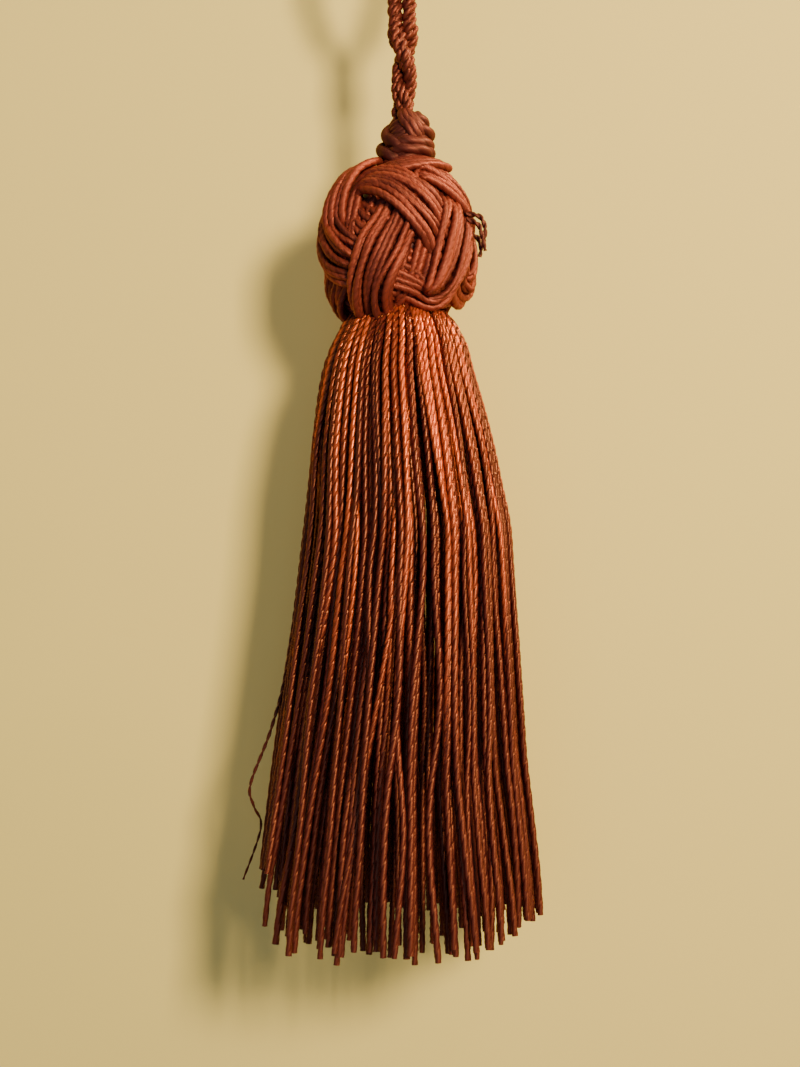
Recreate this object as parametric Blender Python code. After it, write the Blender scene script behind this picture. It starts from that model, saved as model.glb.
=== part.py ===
"""A hanging tassel of satin yarn: a doubled cord with an eye, a neck wrap, a
Turk's-head ball and a skirt of twisted strands.

Metres, +Z up. The origin is the inner top of the eye, where a hook bears, so
everything but the cord's own thickness hangs below it. -Y is the front.
"""

import math

import bmesh
import bpy
import numpy as np

MM = 0.001

# Hanging cord: heights of its legs, the first leg's angle round the axis (180 is
# left, 270 is front), how far each leg stands off the axis, and its radius.
LEG_COLUMNS = ("height", "angle", "stand_off", "radius")
LEG_ROWS = (
    (-29.7, 455, 1.00, 0.84),
    (-29.4, 448, 1.00, 0.84),
    (-26.7, 360, 1.02, 0.90),
    (-23.0, 270, 1.32, 1.18),
    (-19.2, 185, 1.45, 1.25),
    (-15.5, 170, 1.90, 1.25),
)
LEG_POINTS = 9
# The eye above the legs, its left half from the legs up to the top.
EYE_COLUMNS = ("x", "y", "z")
EYE_ROWS = (
    (-2.75, 0.40, -12.8),
    (-3.80, 0.28, -10.0),
    (-4.70, 0.12, -7.0),
    (-5.05, 0.00, -4.0),
    (-4.35, 0.00, -1.0),
    (-2.45, 0.00, 0.72),
)
EYE_TOP_RADIUS = 1.25 * MM
LOOP_STEPS = 104
FINE_CORDS_PER_LEG = 4
FINE_CORD_VALLEY = 0.74
FINE_CORD_PITCH = 9.0 * MM

# Neck wrap: a cone of slanting turns.
NECK_TOP = -30.4 * MM
NECK_BOTTOM = -37.0 * MM
NECK_X = 0.55 * MM
NECK_TOP_RADIUS = 1.95 * MM
NECK_BOTTOM_RADIUS = 3.45 * MM
NECK_TURN_PITCH = 1.85 * MM
NECK_TURN_HEIGHT = 0.30 * MM
NECK_TURN_STARTS = 2
NECK_SWELL = 0.35 * MM
NECK_LUMP = 0.30 * MM
NECK_LUMP_PLACE = 0.3
NECK_SIDES = 26
NECK_RINGS = 15

# Head: the ball's shape, and the Turk's head that covers it.
HEAD_X = -0.40 * MM
HEAD_CENTRE = -48.8 * MM
HEAD_RADIUS = 10.1 * MM
HEAD_RISE = 11.9 * MM
HEAD_DROP = 11.5 * MM
HEAD_FULLNESS_BELOW = 2.3
HEAD_SEAT = -37.3 * MM
HEAD_UNDERSIDE = -58.2 * MM
HEAD_FULL_TOP = math.radians(24)
KNOT_LEADS = 3
KNOT_BIGHTS = 5
KNOT_SWING = math.radians(43)
KNOT_SWING_THIRD = math.radians(4)
KNOT_START = math.radians(-26.4)
KNOT_LEAN = math.radians(-22)
KNOT_PATH_POINTS = 900
BAND_HALF_WIDTH = math.radians(17.5)
BAND_CROWN = 0.70 * MM
BAND_CROWN_EVEN = 0.4
BAND_CROWN_AT_EDGE = 0.6
BAND_LIFT = 0.62 * MM
BAND_CORDS = 4
BAND_CORD_RIDGE = 0.34 * MM
HEAD_COLUMNS_OF_POINTS = 160
HEAD_ROWS_OF_POINTS = 80
HEAD_KEPT_FACES = 0.16

# Skirt: its outline by the drop below the root, and the strands in rings.
ROOT_TOP = -58.5 * MM
ROOT_DEPTH = 1.4 * MM
ROOT_RADIUS = 7.5 * MM
ROOT_NARROWING = 0.94
ROOT_SIDES = 40
SKIRT_COLUMNS = ("drop", "radius", "centre_x")
SKIRT_ROWS = (
    (0.6, 7.35, -0.4),
    (3.0, 8.8, -0.4),
    (6.5, 9.8, -0.5),
    (14.5, 11.7, -0.1),
    (26.5, 13.3, 0.7),
    (42.5, 15.1, 0.4),
    (58.5, 16.8, -0.4),
    (74.5, 18.4, -0.7),
    (88.0, 18.9, -0.5),
)
STRAND_DROPS = (0.6, 3.0, 9.0, 26.0, 52.0)
STRAND_RINGS = (52, 44, 36, 28, 20)
STRAND_RADIUS = 0.45 * MM
RING_INSET_TOP = 0.158
RING_INSET_HEM = 0.165
HEM_DROP = 81.6 * MM
HEM_UNEVEN = 1.4 * MM
HEM_SHORTER_AT_BACK = 1.0 * MM
STRAND_DRIFT = 0.34
# The stray strand that stands out at the left.
STRAY_COLUMNS = ("x", "y", "drop")
STRAY_ROWS = (
    (-7.6, 0.0, 0.6),
    (-9.2, 0.0, 3.0),
    (-10.9, 0.0, 9.0),
    (-12.8, 0.0, 26.0),
    (-15.2, 0.0, 45.0),
    (-17.4, -0.3, 54.0),
    (-20.2, -0.2, 61.5),
    (-19.8, 0.3, 64.5),
    (-18.9, 0.8, 67.5),
    (-21.3, 1.2, 74.5),
)
STRAY_RADIUS = 0.30 * MM
STRAY_FULL_POINTS = 4


def clear_scene():
    for item in list(bpy.data.objects):
        bpy.data.objects.remove(item, do_unlink=True)


def new_collection(name):
    collection = bpy.data.collections.new(name)
    bpy.context.scene.collection.children.link(collection)
    return collection


def yarn_material(name, colour, roughness):
    material = bpy.data.materials.new(name)
    material.use_nodes = True
    shader = material.node_tree.nodes["Principled BSDF"]
    shader.inputs["Base Color"].default_value = (*colour, 1.0)
    shader.inputs["Roughness"].default_value = roughness
    shader.inputs["Metallic"].default_value = 0.0
    return material


def column(rows, columns, name):
    """One named column of a table, in the units that its rows have."""
    return np.array([row[columns.index(name)] for row in rows], float)


def smooth_through(points, count):
    """Points spaced evenly in parameter along a Catmull-Rom curve through these."""
    points = np.asarray(points, float)
    padded = np.vstack([2 * points[0] - points[1], points, 2 * points[-1] - points[-2]])
    places = np.linspace(0, len(points) - 1, count)
    index = np.minimum(places.astype(int), len(points) - 2)
    t = (places - index)[:, None]
    before, start, end, after = (padded[index + k] for k in range(4))
    return 0.5 * (
        2 * start
        + (end - before) * t
        + (2 * before - 5 * start + 4 * end - after) * t**2
        + (3 * start - before - 3 * end + after) * t**3
    )


def profile_curve(name, radii, guides):
    """A closed flat outline, as a section to sweep, with these radii round it."""
    curve = bpy.data.curves.new(name, "CURVE")
    curve.dimensions = "2D"
    spline = curve.splines.new("POLY")
    spline.points.add(len(radii) - 1)
    for index, (point, radius) in enumerate(zip(spline.points, radii)):
        angle = -2 * math.pi * index / len(radii)
        point.co = (radius * math.cos(angle), radius * math.sin(angle), 0, 1)
    spline.use_cyclic_u = True
    profile = bpy.data.objects.new(name, curve)
    guides.objects.link(profile)
    profile.hide_render = True
    profile.display_type = "WIRE"
    return profile


def swept_curve(name, profile):
    curve = bpy.data.curves.new(name, "CURVE")
    curve.dimensions = "3D"
    curve.bevel_mode = "OBJECT"
    curve.bevel_object = profile
    curve.use_fill_caps = True
    return curve


def add_route(curve, route, radii, tilts=None):
    spline = curve.splines.new("POLY")
    spline.points.add(len(route) - 1)
    for index, point in enumerate(spline.points):
        point.co = (*route[index], 1)
        point.radius = radii[index]
        point.tilt = 0 if tilts is None else tilts[index]


def leg_route(start_angle):
    """One twisted leg from the neck wrap up, and its radius at each point."""
    table_heights = column(LEG_ROWS, LEG_COLUMNS, "height")
    heights = np.linspace(table_heights[0], table_heights[-1], LEG_POINTS)
    angle, stand_off, radius = (
        np.interp(heights, table_heights, column(LEG_ROWS, LEG_COLUMNS, name))
        for name in ("angle", "stand_off", "radius")
    )
    turned = np.radians(angle + start_angle)
    centre = np.interp(heights, table_heights[[0, -1]], (NECK_X / MM, 0.0))
    x = centre + stand_off * np.cos(turned)
    return np.stack([x, stand_off * np.sin(turned), heights], 1) * MM, radius * MM


def build_hanging_loop(parts, guides):
    """Two twisted legs and the eye, one cord from the neck wrap and back to it."""
    left, left_radius = leg_route(0)
    right, right_radius = leg_route(180)
    eye_left = np.stack([column(EYE_ROWS, EYE_COLUMNS, name) for name in EYE_COLUMNS], 1) * MM
    eye_right = (eye_left * (-1, -1, 1))[::-1]
    top = [(0, 0, EYE_TOP_RADIUS)]
    route = np.vstack([left, eye_left, top, eye_right, right[::-1]])
    eye_radii = np.full(len(eye_left) * 2 + 1, EYE_TOP_RADIUS)
    radii = np.concatenate([left_radius, eye_radii, right_radius[::-1]])
    route = smooth_through(route, LOOP_STEPS)
    radii = smooth_through(radii[:, None], LOOP_STEPS)[:, 0]
    run = np.concatenate([[0], np.cumsum(np.linalg.norm(np.diff(route, axis=0), axis=1))])
    lobes = [1.0, FINE_CORD_VALLEY] * FINE_CORDS_PER_LEG
    profile = profile_curve("loop_section", lobes, guides)
    curve = swept_curve("hanging_loop", profile)
    add_route(curve, route, radii, 2 * math.pi * run / FINE_CORD_PITCH)
    loop = bpy.data.objects.new("hanging_loop", curve)
    parts.objects.link(loop)
    curve.materials.append(yarn_material("loop_cord", (0.42, 0.10, 0.05), 0.42))


def build_neck_wrap(parts):
    """A capped cone whose side is raised in slanting turns of cord."""
    mesh = bpy.data.meshes.new("neck_wrap")
    shape = bmesh.new()
    bmesh.ops.create_cone(
        shape,
        cap_ends=True,
        segments=NECK_SIDES,
        radius1=NECK_BOTTOM_RADIUS,
        radius2=NECK_TOP_RADIUS,
        depth=NECK_TOP - NECK_BOTTOM,
    )
    upright = [e for e in shape.edges if abs(e.verts[0].co.z - e.verts[1].co.z) > MM]
    bmesh.ops.subdivide_edges(shape, edges=upright, cuts=NECK_RINGS, use_grid_fill=False)
    middle = (NECK_TOP + NECK_BOTTOM) / 2
    for point in shape.verts:
        around = math.atan2(point.co.y, point.co.x)
        height = point.co.z
        slant = height - NECK_TURN_STARTS * NECK_TURN_PITCH * around / (2 * math.pi)
        turn = abs(math.cos(math.pi * slant / NECK_TURN_PITCH))
        share = (height + middle - NECK_BOTTOM) / (NECK_TOP - NECK_BOTTOM)
        swell = NECK_SWELL * math.sin(math.pi * share)
        lump = NECK_LUMP * math.cos(around - NECK_LUMP_PLACE) * math.sin(math.pi * share)
        radius = math.hypot(point.co.x, point.co.y)
        if radius > MM:
            grown = radius + NECK_TURN_HEIGHT * turn + swell + lump
            point.co.x *= grown / radius
            point.co.y *= grown / radius
        point.co.x += NECK_X
        point.co.z += middle
    shape.to_mesh(mesh)
    shape.free()
    mesh.materials.append(yarn_material("neck_cord", (0.30, 0.07, 0.04), 0.5))
    mesh.shade_smooth()
    parts.objects.link(bpy.data.objects.new("neck_wrap", mesh))


def knot_path(count):
    """Unit directions along the Turk's head, and where it rides over or under."""
    turn = np.linspace(0, 2 * math.pi, count, endpoint=False)
    wave = KNOT_BIGHTS * turn
    longitude = KNOT_LEADS * turn + KNOT_START
    latitude = KNOT_SWING * np.cos(wave) + KNOT_SWING_THIRD * np.cos(3 * wave)
    x = np.cos(latitude) * np.sin(longitude)
    y = -np.cos(latitude) * np.cos(longitude)
    z = np.sin(latitude)
    lean_x = x * math.cos(KNOT_LEAN) + z * math.sin(KNOT_LEAN)
    lean_z = z * math.cos(KNOT_LEAN) - x * math.sin(KNOT_LEAN)
    return np.stack([lean_x, y, lean_z], 1), np.sin(2 * wave)


def knot_relief(directions):
    """How far the woven bands stand off the ball in each of these directions."""
    path, over = knot_path(KNOT_PATH_POINTS)
    away = np.arccos(np.clip(directions @ path.T, -1, 1)) / BAND_HALF_WIDTH
    crown = BAND_CROWN_EVEN * away**2 + BAND_CROWN_AT_EDGE * away**6
    height = BAND_LIFT * over[None, :] - BAND_CROWN * crown
    height[away > 1] = -BAND_CROWN - BAND_LIFT
    best = height.argmax(axis=1)
    rows = np.arange(len(directions))
    across = away[rows, best]
    ridge = np.abs(np.sin(math.pi * across * BAND_CORDS / 2)) * BAND_CORD_RIDGE
    relief = height[rows, best] + np.where(across < 1, ridge, 0)
    under_wrap = directions[:, 2] > math.cos(HEAD_FULL_TOP)
    return np.where(under_wrap, np.maximum(relief, 0.0), relief)


def ball_point(directions, relief):
    """The ball's surface: an upright oval, fuller below its middle."""
    upper = directions[:, 2] >= 0
    power = np.where(upper, 1.0, 2 / HEAD_FULLNESS_BELOW)
    level = np.maximum(np.hypot(directions[:, 0], directions[:, 1]), 1e-3)
    out = level ** (power - 1)
    rise = np.where(upper, HEAD_RISE, HEAD_DROP)
    x = directions[:, 0] * out * (HEAD_RADIUS + relief)
    y = directions[:, 1] * out * (HEAD_RADIUS + relief)
    z = np.sign(directions[:, 2]) * np.abs(directions[:, 2]) ** power * (rise + relief)
    return np.stack([x, y, z], 1)


def build_head_knot(parts):
    """A ball whose points are raised in the knot's woven bands of cords."""
    mesh = bpy.data.meshes.new("head_knot")
    shape = bmesh.new()
    bmesh.ops.create_uvsphere(
        shape,
        u_segments=HEAD_COLUMNS_OF_POINTS,
        v_segments=HEAD_ROWS_OF_POINTS,
        radius=1.0,
    )
    directions = np.array([point.co.normalized()[:] for point in shape.verts])
    placed = ball_point(directions, knot_relief(directions))
    placed += (HEAD_X, 0, HEAD_CENTRE)
    placed[:, 2] = np.clip(placed[:, 2], HEAD_UNDERSIDE, HEAD_SEAT)
    for point, place in zip(shape.verts, placed):
        point.co = place
    shape.to_mesh(mesh)
    shape.free()
    mesh.materials.append(yarn_material("head_cord", (0.45, 0.12, 0.06), 0.45))
    mesh.shade_smooth()
    head = bpy.data.objects.new("head_knot", mesh)
    parts.objects.link(head)
    thinned = head.modifiers.new("fewer_faces", "DECIMATE")
    thinned.decimate_type = "COLLAPSE"
    thinned.ratio = HEAD_KEPT_FACES


def strand_route(ring, place, chance):
    """One strand from inside the root to its own uneven end at the hem."""
    drops = np.array(STRAND_DROPS) * MM
    towards_back = max(0.0, math.sin(place))
    end = HEM_DROP - HEM_SHORTER_AT_BACK * towards_back
    end += HEM_UNEVEN * chance.uniform(-1, 1)
    drops = np.append(drops, end)
    table_drops = column(SKIRT_ROWS, SKIRT_COLUMNS, "drop") * MM
    outline = np.interp(drops, table_drops, column(SKIRT_ROWS, SKIRT_COLUMNS, "radius"))
    centre = np.interp(drops, table_drops, column(SKIRT_ROWS, SKIRT_COLUMNS, "centre_x"))
    fall = np.clip(drops / HEM_DROP, 0, 1)
    inset = 1 - ring * (RING_INSET_TOP + (RING_INSET_HEM - RING_INSET_TOP) * fall)
    drift = fall * STRAND_DRIFT
    sideways = 2 * math.pi / STRAND_RINGS[ring] * chance.uniform(-1, 1) * drift
    outward = RING_INSET_HEM * chance.uniform(-1, 1) * drift
    radius = outline * MM * (inset + outward)
    x = centre * MM + radius * np.cos(place + sideways)
    y = radius * np.sin(place + sideways)
    return np.stack([x, y, ROOT_TOP - drops], 1)


def stray_route():
    """The strand that has sprung out, from inside the root to its frayed end."""
    x, y, drop = (column(STRAY_ROWS, STRAY_COLUMNS, name) * MM for name in STRAY_COLUMNS)
    return np.stack([x, y, ROOT_TOP - drop], 1)


def strands_as_mesh(guides):
    """Every strand as its own closed tube of three sides, in one mesh."""
    chance = np.random.default_rng(11)
    curve = swept_curve("skirt_strands", profile_curve("strand_section", [1.0] * 3, guides))
    for ring, count in enumerate(STRAND_RINGS):
        for index in range(count):
            place = 2 * math.pi * (index + 0.5 * (ring % 2)) / count + math.pi
            if ring == 0 and index == 0:
                route = stray_route()
                radii = np.full(len(route), STRAY_RADIUS)
                radii[:STRAY_FULL_POINTS] = STRAND_RADIUS
                add_route(curve, route, radii)
            else:
                route = strand_route(ring, place, chance)
                add_route(curve, route, [STRAND_RADIUS] * len(route))
    swept = bpy.data.objects.new("skirt_strands_swept", curve)
    guides.objects.link(swept)
    graph = bpy.context.evaluated_depsgraph_get()
    mesh = bpy.data.meshes.new_from_object(swept.evaluated_get(graph))
    bpy.data.objects.remove(swept, do_unlink=True)
    shape = bmesh.new()
    shape.from_mesh(mesh)
    bmesh.ops.remove_doubles(shape, verts=shape.verts, dist=1e-6)
    bmesh.ops.recalc_face_normals(shape, faces=shape.faces)
    shape.to_mesh(mesh)
    shape.free()
    strands = bpy.data.objects.new("skirt_strands", mesh)
    guides.objects.link(strands)
    strands.hide_render = True
    strands.display_type = "WIRE"
    return strands


def build_skirt(parts, guides):
    """The bound root under the head, with every strand fused into it."""
    mesh = bpy.data.meshes.new("skirt")
    shape = bmesh.new()
    bmesh.ops.create_cone(
        shape,
        cap_ends=True,
        segments=ROOT_SIDES,
        radius1=ROOT_RADIUS,
        radius2=ROOT_RADIUS * ROOT_NARROWING,
        depth=ROOT_DEPTH,
    )
    centre_x = column(SKIRT_ROWS, SKIRT_COLUMNS, "centre_x")[0] * MM
    bmesh.ops.translate(shape, verts=shape.verts, vec=(centre_x, 0, ROOT_TOP - ROOT_DEPTH / 2))
    shape.to_mesh(mesh)
    shape.free()
    mesh.materials.append(yarn_material("skirt_strand", (0.36, 0.07, 0.04), 0.38))
    skirt = bpy.data.objects.new("skirt", mesh)
    parts.objects.link(skirt)
    fused = skirt.modifiers.new("strands_fused", "BOOLEAN")
    fused.operation = "UNION"
    fused.object = strands_as_mesh(guides)


clear_scene()
tassel = new_collection("tassel")
helpers = new_collection("tassel_helpers")
build_hanging_loop(tassel, helpers)
build_neck_wrap(tassel)
build_head_knot(tassel)
build_skirt(tassel, helpers)
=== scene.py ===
import math

import bpy
import numpy as np
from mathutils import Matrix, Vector


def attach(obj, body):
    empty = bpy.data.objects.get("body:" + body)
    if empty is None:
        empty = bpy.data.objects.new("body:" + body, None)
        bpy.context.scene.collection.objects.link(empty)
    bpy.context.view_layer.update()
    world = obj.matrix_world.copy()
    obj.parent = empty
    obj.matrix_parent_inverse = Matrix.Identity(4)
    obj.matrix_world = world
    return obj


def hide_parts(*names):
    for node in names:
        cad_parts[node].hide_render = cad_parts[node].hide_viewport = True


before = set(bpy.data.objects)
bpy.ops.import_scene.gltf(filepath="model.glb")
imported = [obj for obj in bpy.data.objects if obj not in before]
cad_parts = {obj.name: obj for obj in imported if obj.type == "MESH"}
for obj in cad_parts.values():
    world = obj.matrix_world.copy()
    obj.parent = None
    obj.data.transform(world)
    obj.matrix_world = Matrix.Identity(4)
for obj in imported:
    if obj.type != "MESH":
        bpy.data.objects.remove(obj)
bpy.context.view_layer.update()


# The camera looks straight at the wall from a hand's length away, level with the
# middle of the picture, so it sees the head a little from below and the hem a
# little from above.
MM = 0.001
PICTURE_HEIGHT = 142.3 * MM
CAMERA_DISTANCE = 215 * MM
CAMERA_X = -0.27 * MM
CAMERA_Z = -86.6 * MM

camera_data = bpy.data.cameras.new("camera")
camera_data.sensor_width = 36
camera_data.lens = 36 * CAMERA_DISTANCE / PICTURE_HEIGHT
camera_data.clip_start = 0.01
camera = bpy.data.objects.new("camera", camera_data)
camera.location = (CAMERA_X, -CAMERA_DISTANCE, CAMERA_Z)
camera.rotation_euler = (math.radians(90), 0, 0)
bpy.context.scene.collection.objects.link(camera)
bpy.context.scene.camera = camera


# The hanging loop. One bundle of four fine two-ply viscose cords, doubled: its
# legs leave the neck wrap, twist about each other to the left, and open into an
# eye at the top. The cords are laid together by hand, so they lie unevenly.
LEG_COLUMNS = ("height", "angle", "stand_off", "radius")
LEG_ROWS = (
    (-29.7, 455, 1.00, 0.84),
    (-29.4, 448, 1.00, 0.84),
    (-26.7, 360, 1.02, 0.90),
    (-23.0, 270, 1.32, 1.18),
    (-19.2, 185, 1.45, 1.25),
    (-15.5, 170, 1.90, 1.25),
)
LEG_POINTS = 9
LEG_INTO_WRAP = 1.3 * MM
NECK_X = 0.55 * MM
# The eye's left half, from the legs up: x, y and z in mm.
EYE_POINTS = (
    (-2.75, 0.40, -12.8),
    (-3.80, 0.28, -10.0),
    (-4.70, 0.12, -7.0),
    (-5.05, 0.00, -4.0),
    (-4.35, 0.00, -1.0),
    (-2.45, 0.00, 0.72),
)
EYE_TOP_RADIUS = 1.25 * MM
LOOP_STEPS = 160
FINE_CORDS = 4
FINE_CORD_PITCH = 15.0 * MM
FINE_CORD_HALF_WIDTH = 0.70 * MM
FINE_CORD_STAND_OFF = 0.60
FINE_CORD_SWELL = 0.18
FINE_CORD_WANDER = 0.22
WANDER_KNOTS = 14
THINNEST_SHARE = 0.62
# How far the bundle is pressed together at these heights, in mm.
PRESSED_HEIGHTS = (-21.0, -18.0, -15.0, -12.0)
PRESSED_SHARES = (0.25, 0.46, 0.52, 0.0)
FAN_TOP = -26.6 * MM
FAN_HEIGHT = 3.4 * MM
FAN_SPACING = 0.52 * MM
PLY_PITCH = 2.5 * MM
LOBE_FULLNESS = 1.15


def node(tree, kind, **settings):
    """A new node of this kind, with these properties set."""
    made = tree.nodes.new(kind)
    for name, value in settings.items():
        setattr(made, name, value)
    return made


def maths(tree, operation, first, second=None):
    """A Math node fed by sockets or plain numbers, and its result's socket."""
    made = node(tree, "ShaderNodeMath", operation=operation)
    for socket, value in zip(made.inputs, (first, second)):
        if value is None:
            continue
        if isinstance(value, (int, float)):
            socket.default_value = value
        else:
            tree.links.new(value, socket)
    return made.outputs[0]


def yarn_sweep_tree():
    """Sweeps a two-ply section, twisting as it goes, along every edge path."""
    tree = bpy.data.node_groups.new("yarn_sweep", "GeometryNodeTree")
    face = tree.interface
    face.new_socket("Geometry", in_out="INPUT", socket_type="NodeSocketGeometry")
    for name in ("Half Width", "Waist", "Ply Pitch", "Untwist", "Step"):
        face.new_socket(name, in_out="INPUT", socket_type="NodeSocketFloat")
    face.new_socket("Ring Points", in_out="INPUT", socket_type="NodeSocketInt")
    face.new_socket("Material", in_out="INPUT", socket_type="NodeSocketMaterial")
    face.new_socket("Geometry", in_out="OUTPUT", socket_type="NodeSocketGeometry")
    link = tree.links.new
    given = node(tree, "NodeGroupInput").outputs
    result = node(tree, "NodeGroupOutput").inputs[0]

    paths = node(tree, "GeometryNodeMeshToCurve")
    link(given["Geometry"], paths.inputs[0])
    rounded = node(tree, "GeometryNodeCurveSplineType", spline_type="CATMULL_ROM")
    link(paths.outputs[0], rounded.inputs[0])
    stepped = node(tree, "GeometryNodeResampleCurve", mode="LENGTH")
    link(rounded.outputs[0], stepped.inputs["Curve"])
    link(given["Step"], stepped.inputs["Length"])
    laid = node(tree, "GeometryNodeStoreNamedAttribute", data_type="FLOAT_VECTOR", domain="POINT")
    laid.inputs["Name"].default_value = "lay"
    link(stepped.outputs[0], laid.inputs["Geometry"])
    link(node(tree, "GeometryNodeInputTangent").outputs[0], laid.inputs["Value"])
    measured = node(tree, "GeometryNodeStoreNamedAttribute", data_type="FLOAT", domain="POINT")
    measured.inputs["Name"].default_value = "along"
    run = node(tree, "GeometryNodeSplineParameter").outputs["Length"]
    link(laid.outputs[0], measured.inputs["Geometry"])
    link(run, measured.inputs["Value"])
    phase = node(tree, "GeometryNodeInputNamedAttribute", data_type="FLOAT")
    phase.inputs["Name"].default_value = "phase"
    slackening = maths(tree, "ADD", 1.0, maths(tree, "MULTIPLY", run, given["Untwist"]))
    turns = maths(tree, "DIVIDE", maths(tree, "DIVIDE", run, given["Ply Pitch"]), slackening)
    angle = maths(tree, "MULTIPLY", maths(tree, "ADD", turns, phase.outputs["Attribute"]), math.tau)
    tilted = node(tree, "GeometryNodeSetCurveTilt")
    link(measured.outputs[0], tilted.inputs["Curve"])
    link(angle, tilted.inputs["Tilt"])
    thickness = node(tree, "GeometryNodeInputNamedAttribute", data_type="FLOAT")
    thickness.inputs["Name"].default_value = "thickness"
    radius = maths(tree, "MULTIPLY", thickness.outputs["Attribute"], given["Half Width"])

    ring = node(tree, "GeometryNodeCurvePrimitiveCircle", mode="RADIUS")
    ring.inputs["Radius"].default_value = 1
    link(given["Ring Points"], ring.inputs["Resolution"])
    place = node(tree, "ShaderNodeSeparateXYZ")
    link(node(tree, "GeometryNodeInputPosition").outputs[0], place.inputs[0])
    x, y = place.outputs["X"], place.outputs["Y"]
    narrowed = maths(tree, "SUBTRACT", 1.0, given["Waist"])
    spread = maths(tree, "MULTIPLY", narrowed, LOBE_FULLNESS)
    outwards = maths(tree, "MULTIPLY", x, x)
    lobe = maths(tree, "ADD", given["Waist"], maths(tree, "MULTIPLY", spread, outwards))
    pinched = node(tree, "ShaderNodeCombineXYZ")
    link(x, pinched.inputs["X"])
    link(maths(tree, "MULTIPLY", y, lobe), pinched.inputs["Y"])
    section = node(tree, "GeometryNodeSetPosition")
    link(ring.outputs[0], section.inputs["Geometry"])
    link(pinched.outputs[0], section.inputs["Position"])
    marked = node(
        tree, "GeometryNodeStoreNamedAttribute", data_type="FLOAT_VECTOR", domain="POINT"
    )
    marked.inputs["Name"].default_value = "section"
    link(section.outputs[0], marked.inputs["Geometry"])
    link(node(tree, "GeometryNodeInputPosition").outputs[0], marked.inputs["Value"])

    swept = node(tree, "GeometryNodeCurveToMesh")
    link(tilted.outputs[0], swept.inputs["Curve"])
    link(marked.outputs[0], swept.inputs["Profile Curve"])
    link(radius, swept.inputs["Scale"])
    swept.inputs["Fill Caps"].default_value = True
    smooth = node(tree, "GeometryNodeSetShadeSmooth")
    link(swept.outputs[0], smooth.inputs["Geometry"])
    realized = node(tree, "GeometryNodeRealizeInstances")
    link(smooth.outputs[0], realized.inputs[0])
    coated = node(tree, "GeometryNodeSetMaterial")
    link(realized.outputs[0], coated.inputs["Geometry"])
    link(given["Material"], coated.inputs["Material"])
    link(coated.outputs[0], result)
    return tree


YARN_SWEEP = yarn_sweep_tree()


def spun(name, routes, material, half_width, ply_pitch, step, ring_points, waist, untwist=0.0):
    """One mesh of yarns swept along these routes.

    A route is a dict with its points, and may have a thickness for each point, a
    tone from 0 to 1 and a phase in turns.
    """
    points = np.concatenate([np.asarray(route["points"], float) for route in routes])
    counts = [len(route["points"]) for route in routes]
    starts = np.concatenate([[0], np.cumsum(counts)[:-1]])
    edges = [(s + k, s + k + 1) for s, n in zip(starts, counts) for k in range(n - 1)]
    paths = bpy.data.meshes.new(name + "_paths")
    paths.from_pydata(points.tolist(), edges, [])
    for key, default in (("thickness", 1.0), ("tone", 0.5), ("phase", 0.0)):
        values = [np.broadcast_to(r.get(key, default), (n,)) for r, n in zip(routes, counts)]
        layer = paths.attributes.new(key, "FLOAT", "POINT")
        layer.data.foreach_set("value", np.concatenate(values).astype(np.float32))
    piece = bpy.data.objects.new(name + "_paths", paths)
    bpy.context.scene.collection.objects.link(piece)
    sweep = piece.modifiers.new("sweep", "NODES")
    sweep.node_group = YARN_SWEEP
    wanted = {
        "Half Width": float(half_width),
        "Waist": float(waist),
        "Ply Pitch": float(ply_pitch),
        "Untwist": float(untwist),
        "Step": float(step),
        "Ring Points": int(ring_points),
        "Material": material,
    }
    for socket in YARN_SWEEP.interface.items_tree:
        if socket.in_out == "INPUT" and socket.name in wanted:
            sweep[socket.identifier] = wanted[socket.name]
    graph = bpy.context.evaluated_depsgraph_get()
    mesh = bpy.data.meshes.new_from_object(piece.evaluated_get(graph))
    bpy.data.objects.remove(piece, do_unlink=True)
    finished = bpy.data.objects.new(name, mesh)
    bpy.context.scene.collection.objects.link(finished)
    return finished


def vector_maths(tree, operation, first, second=None):
    """A Vector Math node fed by sockets, and the node itself."""
    made = node(tree, "ShaderNodeVectorMath", operation=operation)
    tree.links.new(first, made.inputs[0])
    if second is not None:
        tree.links.new(second, made.inputs[1])
    return made


FILAMENT_CONTRAST = 1.2
TONE_CONTRAST = 0.8
SHADE_START = -0.55
# How strongly the colour darkens down the run: painted shade.
RUN_PAINTED_SHADE = 3.6
FILAMENT_OFFSET = 57.0
FILAMENT_DEPTH = 0.05 * MM
BEAD_DEPTH = 0.30 * MM
SATIN_METALLIC = 0.48
SATIN_SPECULAR = 0.80


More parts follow.
